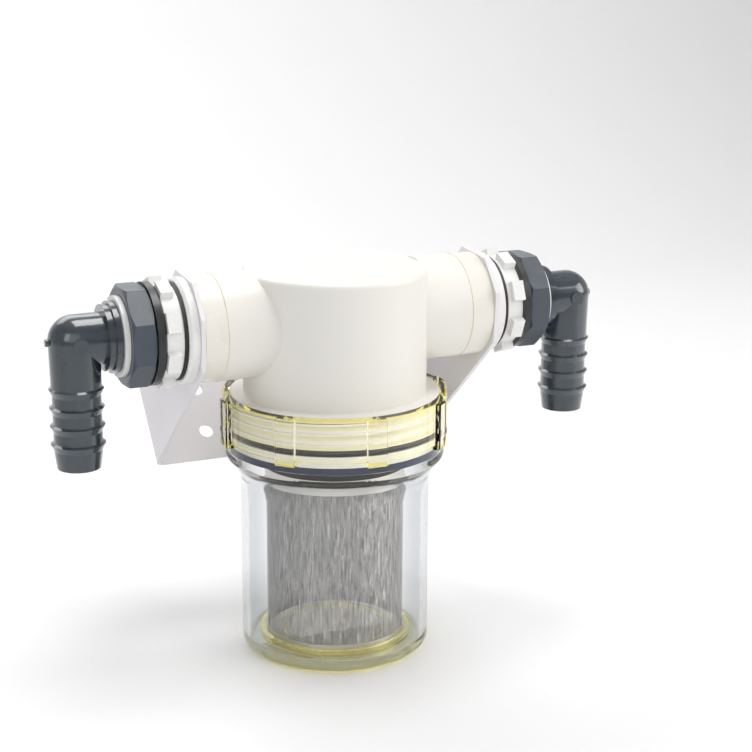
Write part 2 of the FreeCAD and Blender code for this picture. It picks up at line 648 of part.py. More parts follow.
def makeElbow(label):
    """Hose elbow: tail flange, stepped collar, tight round corner and a barbed spout pointing down."""
    body = newBody(label)
    turned(body, f"{label}_tail", [
        ("0", TAIL_START),
        ("tailFlange", TAIL_START),
        ("tailFlange", f"{TAIL_START} + tailFlangeThickness"),
        ("tailNeck", f"{TAIL_START} + tailFlangeThickness"),
        ("tailNeck", COLLAR_START),
        ("collarRadius", COLLAR_START),
        ("collarRadius", f"{COLLAR_START} + collarLength"),
        ("collarStep", f"{COLLAR_START} + collarLength"),
        ("collarStep", TUBE_START),
        ("elbowTube", TUBE_START),
        ("elbowTube", ELBOW_AXIS),
        ("0", ELBOW_AXIS),
    ])
    corner = body.newObject("PartDesign::AdditiveSphere", f"{label}_corner")
    plane = next(item for item in body.Origin.OriginFeatures if item.Role == "XY_Plane")
    corner.AttachmentSupport = (plane, [""])
    corner.MapMode = "FlatFace"
    corner.setExpression("Radius", bound("elbowTube"))
    corner.setExpression("AttachmentOffset.Base.z", bound(ELBOW_AXIS))
    doc.recompute()
    spout = [("0", ELBOW_AXIS), ("0", f"{ELBOW_AXIS} + elbowTube - seatGap"),
             ("barbStart - barbPitch / 2", f"{ELBOW_AXIS} + barbTube")]
    for number in range(int(size("barbCount"))):
        crest = f"barbStart + {number} * barbPitch"
        above = "barbTube" if number == 0 else "barbRoot"
        spout += [(f"{crest} - barbRise", f"{ELBOW_AXIS} + {above}"), (crest, f"{ELBOW_AXIS} + barbCrest"),
                  (f"{crest} + barbFall", f"{ELBOW_AXIS} + barbRoot")]
    spout += [("barbEnd", f"{ELBOW_AXIS} + barbTip"), ("barbEnd", ELBOW_AXIS)]
    barbAxis = (("0", ELBOW_AXIS), ("barbEnd", ELBOW_AXIS))
    turned(body, f"{label}_spout", spout, about=barbAxis)
    boss = newSketch(body, f"{label}_boss_circle", "XZ_Plane")
    circle(boss, "0", ELBOW_AXIS, "bossRadius")
    extruded(body, f"{label}_bosses", boss, "2 * (elbowTube + bossHeight)", bothWays=True)
    nub = newSketch(body, f"{label}_nub_circle", "XY_Plane", f"{ELBOW_AXIS} + elbowTube / 2")
    circle(nub, "0", "0", "gateNubRadius")
    extruded(body, f"{label}_nub", nub, "elbowTube / 2 + gateNubHeight")
    turned(body, f"{label}_tail_bore", rectangle("0", TAIL_START, "elbowBore", ELBOW_AXIS), cut=True)
    turned(body, f"{label}_spout_bore",
           [("0", ELBOW_AXIS), ("0", f"{ELBOW_AXIS} + elbowBore"),
            ("barbEnd", f"{ELBOW_AXIS} + elbowBore"), ("barbEnd", ELBOW_AXIS)], cut=True, about=barbAxis)
    return body


FITTINGS = {
    "port_bushing": makeBushing,
    "flange_ring": makeFlangeRing,
    "ring_gasket": makeRingGasket,
    "lock_nut": makeLockNut,
    "dark_ring": makeDarkRing,
    "union_nut": makeUnionNut,
    "union_seal": makeUnionSeal,
    "neck_washer": makeWasher,
    "elbow": makeElbow,
}


def placeFitting(body, sideAngle):
    """Local +Z becomes outward along the port and local +X becomes down."""
    outward = FreeCAD.Rotation(Vector(0, 1, 0), 90)
    side = FreeCAD.Rotation(Vector(0, 0, 1), sideAngle)
    body.Placement = FreeCAD.Placement(Vector(0, 0, size("portHeight")), side * outward)
    body.setExpression("Placement.Base.z", bound("portHeight"))


parts = [makeBowl(), makeBowlGasket(), makeNeckRing(), makeHead(), makeBracket(), makeScreenSeal()]
parts += makeScreen()
for sideName, sideAngle in (("left", 180), ("right", 0)):
    for fitting, make in FITTINGS.items():
        piece = make(f"{fitting}_{sideName}")
        placeFitting(piece, sideAngle)
        parts.append(piece)
doc.recompute()

for item in doc.Objects:
    if "Invalid" in item.State or "Error" in item.State:
        raise RuntimeError(f"{item.Label} failed: {item.State}")
for piece in parts:
    if piece.Shape.isNull() or not piece.Shape.isValid():
        raise RuntimeError(f"{piece.Label} has no valid shape")
for piece in parts:
    piece.Shape.exportStep(f"parts/{piece.Label}.step")
    print(f"{piece.Label:24s} solids {len(piece.Shape.Solids)}  volume {piece.Shape.Volume:10.1f}")
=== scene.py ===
import json
import math

import bpy
from mathutils import Matrix, Vector


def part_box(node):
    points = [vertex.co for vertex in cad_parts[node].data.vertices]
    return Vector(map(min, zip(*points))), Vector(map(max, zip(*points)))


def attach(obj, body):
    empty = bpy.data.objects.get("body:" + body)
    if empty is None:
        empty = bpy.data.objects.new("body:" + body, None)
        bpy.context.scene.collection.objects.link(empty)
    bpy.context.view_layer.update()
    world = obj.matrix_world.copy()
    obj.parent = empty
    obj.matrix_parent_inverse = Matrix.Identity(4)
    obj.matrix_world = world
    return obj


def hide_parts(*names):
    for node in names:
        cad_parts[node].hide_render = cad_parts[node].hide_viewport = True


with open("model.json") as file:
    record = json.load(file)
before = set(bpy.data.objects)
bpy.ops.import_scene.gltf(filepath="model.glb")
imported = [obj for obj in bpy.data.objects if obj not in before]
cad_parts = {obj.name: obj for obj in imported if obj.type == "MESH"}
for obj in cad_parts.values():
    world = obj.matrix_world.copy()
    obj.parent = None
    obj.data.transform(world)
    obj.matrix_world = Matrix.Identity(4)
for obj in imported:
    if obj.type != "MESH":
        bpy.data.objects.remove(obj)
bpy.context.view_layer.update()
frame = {"nodes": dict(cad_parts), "record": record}
print("frame loaded:", len(frame["nodes"]), "nodes")


def deselectAll():
    if bpy.context.object and bpy.context.object.mode != "OBJECT":
        bpy.ops.object.mode_set(mode="OBJECT")
    bpy.ops.object.select_all(action="DESELECT")


def makeActive(piece):
    deselectAll()
    piece.select_set(True)
    bpy.context.view_layer.objects.active = piece


def applyModifiers(piece):
    makeActive(piece)
    for modifier in list(piece.modifiers):
        bpy.ops.object.modifier_apply(modifier=modifier.name)


def placeInMesh(piece):
    # the object goes to the origin, and its place goes into the mesh
    makeActive(piece)
    bpy.ops.object.transform_apply(location=True, rotation=True, scale=True)


mergeDistance = 0.000004  # points nearer than this become one


def cleanNormals(piece):
    makeActive(piece)
    bpy.ops.object.mode_set(mode="EDIT")
    bpy.ops.mesh.select_all(action="SELECT")
    bpy.ops.mesh.remove_doubles(threshold=mergeDistance)
    bpy.ops.mesh.normals_make_consistent(inside=False)
    bpy.ops.object.mode_set(mode="OBJECT")


def smoothByAngle(piece, degrees):
    makeActive(piece)
    bpy.ops.object.shade_smooth_by_angle(angle=math.radians(degrees))


# each shader group is built once and placed in the materials that use it
def newGroup(name, inputs, outputs):
    group = bpy.data.node_groups.new(name, "ShaderNodeTree")
    for socketName, value in inputs:
        kind = "NodeSocketColor" if isinstance(value, tuple) else "NodeSocketFloat"
        socket = group.interface.new_socket(socketName, in_out="INPUT", socket_type=kind)
        socket.default_value = value
    for socketName, kind in outputs:
        group.interface.new_socket(socketName, in_out="OUTPUT", socket_type=kind)
    return group, group.nodes.new("NodeGroupInput"), group.nodes.new("NodeGroupOutput")


def mathNode(nodes, links, operation, first, second=None):
    node = nodes.new("ShaderNodeMath")
    node.operation = operation
    for socket, value in zip(node.inputs, (first, second)):
        if value is None:
            continue
        if isinstance(value, (int, float)):
            socket.default_value = value
        else:
            links.new(value, socket)
    return node.outputs[0]


def mixColours(nodes, links, first, second, factor):
    node = nodes.new("ShaderNodeMix")
    node.data_type = "RGBA"
    for socketName, value in (("A", first), ("B", second)):
        if isinstance(value, tuple):
            node.inputs[socketName].default_value = value
        else:
            links.new(value, node.inputs[socketName])
    links.new(factor, node.inputs["Factor"])
    return node.outputs["Result"]


def buildMottle():
    # slow drift of colour over a moulding, with fine grain for the bump
    group, start, end = newGroup(
        "mouldedMottle",
        [("Colour", (0.8, 0.8, 0.8, 1)), ("Second Colour", (0.7, 0.7, 0.7, 1)), ("Patch Scale", 18.0),
         ("Grain Scale", 900.0), ("Roughness", 0.4), ("Roughness Change", 0.1)],
        [("Colour", "NodeSocketColor"), ("Roughness", "NodeSocketFloat"), ("Height", "NodeSocketFloat")])
    nodes, links = group.nodes, group.links
    coords = nodes.new("ShaderNodeTexCoord")
    patches = nodes.new("ShaderNodeTexNoise")
    patches.inputs["Detail"].default_value = 4
    grain = nodes.new("ShaderNodeTexNoise")
    grain.inputs["Detail"].default_value = 3
    links.new(coords.outputs["Object"], patches.inputs["Vector"])
    links.new(coords.outputs["Object"], grain.inputs["Vector"])
    links.new(start.outputs["Patch Scale"], patches.inputs["Scale"])
    links.new(start.outputs["Grain Scale"], grain.inputs["Scale"])
    colour = mixColours(
        nodes, links, start.outputs["Colour"], start.outputs["Second Colour"], patches.outputs["Fac"])
    links.new(colour, end.inputs["Colour"])
    centred = mathNode(nodes, links, "SUBTRACT", patches.outputs["Fac"], 0.5)
    change = mathNode(nodes, links, "MULTIPLY", centred, start.outputs["Roughness Change"])
    links.new(mathNode(nodes, links, "ADD", start.outputs["Roughness"], change), end.inputs["Roughness"])
    links.new(grain.outputs["Fac"], end.inputs["Height"])
    return group


def buildDust():
    # a pale film on what faces up, thicker in patches
    group, start, end = newGroup(
        "settledDust",
        [("Amount", 0.2), ("Patch Scale", 60.0)],
        [("Mask", "NodeSocketFloat")])
    nodes, links = group.nodes, group.links
    coords = nodes.new("ShaderNodeTexCoord")
    geometry = nodes.new("ShaderNodeNewGeometry")
    split = nodes.new("ShaderNodeSeparateXYZ")
    noise = nodes.new("ShaderNodeTexNoise")
    noise.inputs["Detail"].default_value = 5
    links.new(geometry.outputs["Normal"], split.inputs[0])
    links.new(coords.outputs["Object"], noise.inputs["Vector"])
    links.new(start.outputs["Patch Scale"], noise.inputs["Scale"])
    up = mathNode(nodes, links, "MAXIMUM", split.outputs["Z"], 0.0)
    both = mathNode(nodes, links, "MULTIPLY", up, noise.outputs["Fac"])
    links.new(mathNode(nodes, links, "MULTIPLY", both, start.outputs["Amount"]), end.inputs["Mask"])
    return group


lineStretch = (0.02, 0.02, 1)  # draws the noise out sideways into lines


def buildBrushed():
    # fine lines that run round the object, for rolled and brushed steel
    group, start, end = newGroup(
        "brushedLines",
        [("Line Scale", 2600.0), ("Drift Scale", 30.0)],
        [("Mask", "NodeSocketFloat"), ("Drift", "NodeSocketFloat")])
    nodes, links = group.nodes, group.links
    coords = nodes.new("ShaderNodeTexCoord")
    stretch = nodes.new("ShaderNodeMapping")
    stretch.inputs["Scale"].default_value = lineStretch
    lines = nodes.new("ShaderNodeTexNoise")
    drift = nodes.new("ShaderNodeTexNoise")
    links.new(coords.outputs["Object"], stretch.inputs["Vector"])
    links.new(stretch.outputs["Vector"], lines.inputs["Vector"])
    links.new(coords.outputs["Object"], drift.inputs["Vector"])
    links.new(start.outputs["Line Scale"], lines.inputs["Scale"])
    links.new(start.outputs["Drift Scale"], drift.inputs["Scale"])
    links.new(lines.outputs["Fac"], end.inputs["Mask"])
    links.new(drift.outputs["Fac"], end.inputs["Drift"])
    return group


def buildPartingLine():
    # a thin raised line where the two halves of a mould met, on the plane Y = 0
    group, start, end = newGroup(
        "partingLine", [("Half Width", 0.0003)], [("Mask", "NodeSocketFloat")])
    nodes, links = group.nodes, group.links
    coords = nodes.new("ShaderNodeTexCoord")
    split = nodes.new("ShaderNodeSeparateXYZ")
    links.new(coords.outputs["Object"], split.inputs[0])
    away = mathNode(nodes, links, "ABSOLUTE", split.outputs["Y"])
    share = mathNode(nodes, links, "DIVIDE", away, start.outputs["Half Width"])
    near = mathNode(nodes, links, "SUBTRACT", 1.0, share)
    links.new(mathNode(nodes, links, "MAXIMUM", near, 0.0), end.inputs["Mask"])
    return group


# places, widths and fades on the bowl in metres; ringStrength, crestStart and crestFade are shares
rimSizes = {
    "footTop": 0.0055, "footFade": 0.004, "rimHeight": 0.1392, "rimFade": 0.001,
    "bandHeight": 0.1176, "bandRadius": 0.0580, "bandHalf": 0.0020, "bandFade": 0.0008,
    "outerRing": 0.0393, "innerRing": 0.0283, "ringHalf": 0.0015, "ringHeight": 0.0088, "ringRise": 0.0017,
    "ringStrength": 0.75, "pitch": 0.0052, "bore": 0.0558, "threadHeight": 0.1300, "threadHalf": 0.0085,
    "crestStart": 0.45, "crestFade": 0.25}


def buildRimCast(sizes):
    # where a clear bowl shows its own colour: foot, base rings, underside of the lugged band, thread and rim;
    # the foot seen face on gets painted shade there instead
    group, start, end = newGroup(
        "rimCast",
        [("Foot Top", sizes["footTop"]), ("Band Height", sizes["bandHeight"]),
         ("Band Radius", sizes["bandRadius"]), ("Rim Height", sizes["rimHeight"]),
         ("Outer Ring", sizes["outerRing"]), ("Inner Ring", sizes["innerRing"]),
         ("Pitch", sizes["pitch"]), ("Bore", sizes["bore"])],
        [("Mask", "NodeSocketFloat"), ("Foot", "NodeSocketFloat"), ("Upper", "NodeSocketFloat"),
         ("Rings", "NodeSocketFloat"), ("Turns", "NodeSocketFloat")])
    nodes, links = group.nodes, group.links
    coords = nodes.new("ShaderNodeTexCoord")
    split = nodes.new("ShaderNodeSeparateXYZ")
    links.new(coords.outputs["Object"], split.inputs[0])
    across = mathNode(nodes, links, "MULTIPLY", split.outputs["X"], split.outputs["X"])
    deep = mathNode(nodes, links, "MULTIPLY", split.outputs["Y"], split.outputs["Y"])
    radius = mathNode(nodes, links, "SQRT", mathNode(nodes, links, "ADD", across, deep))

    def fade(value, width):
        # 0 to 1 over the given width
        share = nodes.new("ShaderNodeMath")
        share.operation = "DIVIDE"
        share.use_clamp = True
        share.inputs[1].default_value = width
        links.new(value, share.inputs[0])
        return share.outputs[0]

    height = split.outputs["Z"]
    belowTop = mathNode(nodes, links, "SUBTRACT", start.outputs["Foot Top"], height)
    foot = fade(belowTop, sizes["footFade"])
    rim = fade(mathNode(nodes, links, "SUBTRACT", height, start.outputs["Rim Height"]), sizes["rimFade"])
    overBand = mathNode(nodes, links, "SUBTRACT", height, start.outputs["Band Height"])
    offBand = mathNode(nodes, links, "ABSOLUTE", overBand)
    nearBand = fade(mathNode(nodes, links, "SUBTRACT", sizes["bandHalf"], offBand), sizes["bandFade"])
    outside = mathNode(nodes, links, "GREATER_THAN", radius, start.outputs["Band Radius"])
    band = mathNode(nodes, links, "MULTIPLY", nearBand, outside)
    links.new(mathNode(nodes, links, "MAXIMUM", rim, band), end.inputs["Mask"])
    links.new(foot, end.inputs["Foot"])

    def within(value, middle, half):
        # 1 where the value is less than half away from the middle
        away = mathNode(nodes, links, "ABSOLUTE", mathNode(nodes, links, "SUBTRACT", value, middle))
        return mathNode(nodes, links, "LESS_THAN", away, half)

    outer = within(radius, start.outputs["Outer Ring"], sizes["ringHalf"])
    inner = within(radius, start.outputs["Inner Ring"], sizes["ringHalf"])
    either = mathNode(nodes, links, "MAXIMUM", outer, inner)
    raised = within(height, sizes["ringHeight"], sizes["ringRise"])
    soft = mathNode(nodes, links, "MULTIPLY", either, sizes["ringStrength"])
    links.new(mathNode(nodes, links, "MULTIPLY", soft, raised), end.inputs["Rings"])
    # the screw thread inside the skirt shows as slanting bands
    angle = mathNode(nodes, links, "ARCTAN2", split.outputs["Y"], split.outputs["X"])
    share = mathNode(nodes, links, "DIVIDE", angle, 2 * math.pi)
    rise = mathNode(nodes, links, "DIVIDE", height, start.outputs["Pitch"])
    place = mathNode(nodes, links, "FRACT", mathNode(nodes, links, "SUBTRACT", rise, share))
    crest = mathNode(nodes, links, "PINGPONG", mathNode(nodes, links, "MULTIPLY", place, 2.0), 1.0)
    pastStart = mathNode(nodes, links, "SUBTRACT", crest, sizes["crestStart"])
    slanting = fade(pastStart, sizes["crestFade"])
    threaded = within(height, sizes["threadHeight"], sizes["threadHalf"])
    inBore = mathNode(nodes, links, "LESS_THAN", radius, start.outputs["Bore"])
    onThread = mathNode(nodes, links, "MULTIPLY", threaded, inBore)
    links.new(mathNode(nodes, links, "MULTIPLY", slanting, onThread), end.inputs["Turns"])
    upper = mathNode(nodes, links, "GREATER_THAN", height, start.outputs["Band Height"])
    links.new(upper, end.inputs["Upper"])
    return group


mottleGroup = buildMottle()
dustGroup = buildDust()
brushedGroup = buildBrushed()
partingGroup = buildPartingLine()
rimGroup = buildRimCast(rimSizes)
print("shader groups built")


def newMaterial(name):
    material = bpy.data.materials.new(name)
    material.use_nodes = True
    shader = material.node_tree.nodes["Principled BSDF"]
    return material, material.node_tree.nodes, material.node_tree.links, shader


def placeGroup(nodes, group, values):
    node = nodes.new("ShaderNodeGroup")
    node.node_tree = group
    for socketName, value in values.items():
        node.inputs[socketName].default_value = value
    return node


def rangeNode(nodes, links, value, low, high):
    # 0 at the low value to 1 at the high one
    node = nodes.new("ShaderNodeMapRange")
    node.inputs["From Min"].default_value = low
    node.inputs["From Max"].default_value = high
    links.new(value, node.inputs["Value"])
    return node.outputs["Result"]


def addBump(nodes, links, shader, height, strength, distance):
    bump = nodes.new("ShaderNodeBump")
    bump.inputs["Strength"].default_value = strength
    bump.inputs["Distance"].default_value = distance
    links.new(height, bump.inputs["Height"])
    links.new(bump.outputs["Normal"], shader.inputs["Normal"])


allMouldings = {
    "dustScale": 70.0, "dustColour": (0.8, 0.79, 0.76, 1), "lineHeight": 3.0, "coatRoughness": 0.08,
    "subsurfaceRadius": (0.004, 0.0035, 0.003), "ior": 1.5}


def moulding(name, look):
    # plastic, rubber or paint: mottled colour, grain in the bump, dust on top
    material, nodes, links, shader = newMaterial(name)
    mottle = placeGroup(nodes, mottleGroup, {
        "Colour": look["colour"], "Second Colour": look["secondColour"], "Patch Scale": look["patchScale"],
        "Grain Scale": look["grainScale"], "Roughness": look["roughness"],
        "Roughness Change": look["roughnessChange"]})
    dust = placeGroup(
        nodes, dustGroup, {"Amount": look["dust"], "Patch Scale": allMouldings["dustScale"]})
    dusty = mixColours(
        nodes, links, mottle.outputs["Colour"], allMouldings["dustColour"], dust.outputs["Mask"])
    links.new(dusty, shader.inputs["Base Color"])
    links.new(mottle.outputs["Roughness"], shader.inputs["Roughness"])
    height = mottle.outputs["Height"]
    if look.get("partingLine"):
        line = placeGroup(nodes, partingGroup, {"Half Width": look["partingLine"]})
        raised = mathNode(nodes, links, "MULTIPLY", line.outputs["Mask"], allMouldings["lineHeight"])
        height = mathNode(nodes, links, "ADD", height, raised)
    addBump(nodes, links, shader, height, look["bump"], look["bumpDistance"])
    shader.inputs["IOR"].default_value = look.get("ior", allMouldings["ior"])
    shader.inputs["Coat Weight"].default_value = look.get("coat", 0.0)
    shader.inputs["Coat Roughness"].default_value = allMouldings["coatRoughness"]
    shader.inputs["Subsurface Weight"].default_value = look.get("subsurface", 0.0)
    shader.inputs["Subsurface Radius"].default_value = allMouldings["subsurfaceRadius"]
    return material


headLook = {
    "colour": (0.86, 0.845, 0.80, 1), "secondColour": (0.83, 0.81, 0.755, 1), "patchScale": 14.0,
    "grainScale": 700.0, "roughness": 0.36, "roughnessChange": 0.12, "dust": 0.10, "bump": 0.10,
    "bumpDistance": 0.0003, "subsurface": 0.08}
nylonLook = {
    "colour": (0.88, 0.88, 0.87, 1), "secondColour": (0.82, 0.82, 0.80, 1), "patchScale": 40.0,
    "grainScale": 900.0, "roughness": 0.27, "roughnessChange": 0.12, "dust": 0.05, "bump": 0.12,
    "bumpDistance": 0.0002, "subsurface": 0.06}
creamLook = {
    "colour": (0.86, 0.845, 0.79, 1), "secondColour": (0.83, 0.80, 0.73, 1), "patchScale": 35.0,
    "grainScale": 900.0, "roughness": 0.27, "roughnessChange": 0.10, "dust": 0.05, "bump": 0.08,
    "bumpDistance": 0.0002, "subsurface": 0.06}
slateLook = {
    "colour": (0.012, 0.024, 0.036, 1), "secondColour": (0.024, 0.038, 0.052, 1), "patchScale": 60.0,
    "grainScale": 420.0, "roughness": 0.22, "roughnessChange": 0.16, "dust": 0.05, "bump": 0.22,
    "bumpDistance": 0.0004, "partingLine": 0.00035, "coat": 0.8, "ior": 1.55}
nutLook = {
    "colour": (0.050, 0.064, 0.084, 1), "secondColour": (0.072, 0.088, 0.110, 1), "patchScale": 50.0,
    "grainScale": 700.0, "roughness": 0.33, "roughnessChange": 0.14, "dust": 0.16, "bump": 0.20,
    "bumpDistance": 0.0003}
rubberLook = {
    "colour": (0.012, 0.012, 0.014, 1), "secondColour": (0.022, 0.022, 0.024, 1), "patchScale": 90.0,
    "grainScale": 1600.0, "roughness": 0.62, "roughnessChange": 0.15, "dust": 0.12, "bump": 0.30,
    "bumpDistance": 0.0002}
navyLook = {
    "colour": (0.010, 0.016, 0.050, 1), "secondColour": (0.018, 0.026, 0.065, 1), "patchScale": 90.0,
    "grainScale": 1600.0, "roughness": 0.55, "roughnessChange": 0.15, "dust": 0.08, "bump": 0.30,
    "bumpDistance": 0.0002}
paintLook = {
    "colour": (0.83, 0.815, 0.845, 1), "secondColour": (0.80, 0.775, 0.81, 1), "patchScale": 22.0,
    "grainScale": 380.0, "roughness": 0.34, "roughnessChange": 0.12, "dust": 0.06, "bump": 0.14,
    "bumpDistance": 0.0003, "coat": 0.2}
cementLook = {
    "colour": (0.74, 0.66, 0.44, 1), "secondColour": (0.82, 0.78, 0.64, 1), "patchScale": 120.0,
    "grainScale": 900.0, "roughness": 0.35, "roughnessChange": 0.2, "dust": 0.05, "bump": 0.2,
    "bumpDistance": 0.0002}
blackNylonLook = {
    "colour": (0.014, 0.015, 0.017, 1), "secondColour": (0.028, 0.030, 0.033, 1), "patchScale": 60.0,
    "grainScale": 700.0, "roughness": 0.30, "roughnessChange": 0.14, "dust": 0.12, "bump": 0.18,
    "bumpDistance": 0.0003}

whiteMoulding = moulding("white_moulding", headLook)
cement = moulding("cement", cementLook)
blackNylon = moulding("black_nylon", blackNylonLook)
whiteNylon = moulding("white_nylon", nylonLook)
creamBushing = moulding("cream_bushing", creamLook)
slateNylon = moulding("slate_nylon", slateLook)
slateNut = moulding("slate_nut", nutLook)
blackRubber = moulding("black_rubber", rubberLook)
navyRubber = moulding("navy_rubber", navyLook)
whitePaint = moulding("white_paint", paintLook)

# the blue grey for walls seen edge on is painted shade
# the dark grey for the foot seen face on is painted shade, for the shadow under the bowl
clearLook = {
    "ior": 1.34, "roughness": 0.01, "roughnessChange": 0.03, "flowScale": 24.0, "flowStretch": (1, 1, 0.25),
    "flowBump": 0.04, "bumpDistance": 0.001, "turnedFrom": 0.20, "turnedTo": 0.50,
    "face": (0.995, 0.995, 0.99, 1), "wallEdgeShade": (0.67, 0.695, 0.76, 1), "bandEdge": (0.97, 0.94, 0.78, 1),
    "cast": (1.0, 0.89, 0.24, 1), "footFaceShade": (0.45, 0.46, 0.44, 1), "threadCast": (0.95, 0.90, 0.60, 1),
    "tint": (0.99, 0.96, 0.22, 1), "depth": 6.0, "letThrough": (0.995, 0.995, 0.985, 1)}


def clearPlastic(name, look):
    # clear moulding: faint flow marks, a yellow cast that grows with the depth of plastic, and painted shade
    # on walls seen edge on and on the foot seen face on
    material, nodes, links, shader = newMaterial(name)
    coords = nodes.new("ShaderNodeTexCoord")
    flow = nodes.new("ShaderNodeTexNoise")
    flow.inputs["Scale"].default_value = look["flowScale"]
    flow.inputs["Detail"].default_value = 2
    stretch = nodes.new("ShaderNodeMapping")
    stretch.inputs["Scale"].default_value = look["flowStretch"]
    links.new(coords.outputs["Object"], stretch.inputs["Vector"])
    links.new(stretch.outputs["Vector"], flow.inputs["Vector"])
    change = mathNode(nodes, links, "MULTIPLY", flow.outputs["Fac"], look["roughnessChange"])
    links.new(mathNode(nodes, links, "ADD", change, look["roughness"]), shader.inputs["Roughness"])
    addBump(nodes, links, shader, flow.outputs["Fac"], look["flowBump"], look["bumpDistance"])
    rim = placeGroup(nodes, rimGroup, {})
    # painted shade: a wall seen edge on turns a darker blue grey than one seen from the front; above the band
    # it takes a pale yellow tint of its own instead
    facing = nodes.new("ShaderNodeLayerWeight")
    facing.inputs["Blend"].default_value = 0.5
    turned = rangeNode(nodes, links, facing.outputs["Facing"], look["turnedFrom"], look["turnedTo"])
    edge = mixColours(nodes, links, look["wallEdgeShade"], look["bandEdge"], rim.outputs["Upper"])
    plain = mixColours(nodes, links, look["face"], edge, turned)
    # painted shade: the foot seen face on is a dark grey for the shadow under the bowl, and seen edge on it
    # takes the yellow cast
    footShadeAndCast = mixColours(nodes, links, look["footFaceShade"], look["cast"], turned)
    lower = mixColours(nodes, links, plain, footShadeAndCast, rim.outputs["Foot"])
    ringed = mixColours(nodes, links, lower, look["cast"], rim.outputs["Rings"])
    banded = mixColours(nodes, links, ringed, look["threadCast"], rim.outputs["Turns"])
    rimmed = mixColours(nodes, links, banded, look["cast"], rim.outputs["Mask"])
    links.new(rimmed, shader.inputs["Base Color"])
    shader.inputs["Metallic"].default_value = 0.0
    shader.inputs["Transmission Weight"].default_value = 1.0
    shader.inputs["IOR"].default_value = look["ior"]
    volume = nodes.new("ShaderNodeVolumeAbsorption")
    volume.inputs["Color"].default_value = look["tint"]
    volume.inputs["Density"].default_value = look["depth"]
    links.new(volume.outputs["Volume"], nodes["Material Output"].inputs["Volume"])
    # light reaches what is inside, because shadow rays pass the clear wall
    path = nodes.new("ShaderNodeLightPath")
    through = nodes.new("ShaderNodeBsdfTransparent")
    through.inputs["Color"].default_value = look["letThrough"]
    blend = nodes.new("ShaderNodeMixShader")
    links.new(path.outputs["Is Shadow Ray"], blend.inputs[0])
    links.new(shader.outputs["BSDF"], blend.inputs[1])
    links.new(through.outputs["BSDF"], blend.inputs[2])
    links.new(blend.outputs["Shader"], nodes["Material Output"].inputs["Surface"])
    return material


clearMoulding = clearPlastic("clear_moulding", clearLook)

bandLook = {
    "lineScale": 2600.0, "driftScale": 35.0, "dull": (0.62, 0.61, 0.60, 1), "bright": (0.78, 0.77, 0.75, 1),
    "roughness": 0.22, "roughnessChange": 0.25, "bump": 0.15, "bumpDistance": 0.0002}


def bandSteel(name, look):
    # rolled steel strip, with fine lines round the screen
    material, nodes, links, shader = newMaterial(name)
    brushed = placeGroup(
        nodes, brushedGroup, {"Line Scale": look["lineScale"], "Drift Scale": look["driftScale"]})
    lined = mixColours(nodes, links, look["dull"], look["bright"], brushed.outputs["Mask"])
    links.new(lined, shader.inputs["Base Color"])
    spread = mathNode(nodes, links, "MULTIPLY", brushed.outputs["Drift"], look["roughnessChange"])
    links.new(mathNode(nodes, links, "ADD", spread, look["roughness"]), shader.inputs["Roughness"])
    addBump(nodes, links, shader, brushed.outputs["Mask"], look["bump"], look["bumpDistance"])
    shader.inputs["Metallic"].default_value = 1.0
    return material


steelBand = bandSteel("steel_band", bandLook)

weaveLook = {
    "warpCount": 520, "weftCount": 215, "wireShare": 0.135, "wander": 9.0, "wanderScale": 70.0,
    "streakScale": 1100.0, "streakStretch": (1, 1, 0.09), "darkBelow": 0.36, "brightAbove": 0.64,
    "bunchedFrom": 0.55, "bunchedTo": 0.70, "film": 0.04, "metallic": 0.75, "roughness": 0.34,
    "roughnessChange": 0.2, "bump": 0.5, "bumpDistance": 0.0002,
    "darkWire": (0.22, 0.22, 0.235, 1), "brightWire": (0.62, 0.61, 0.63, 1)}


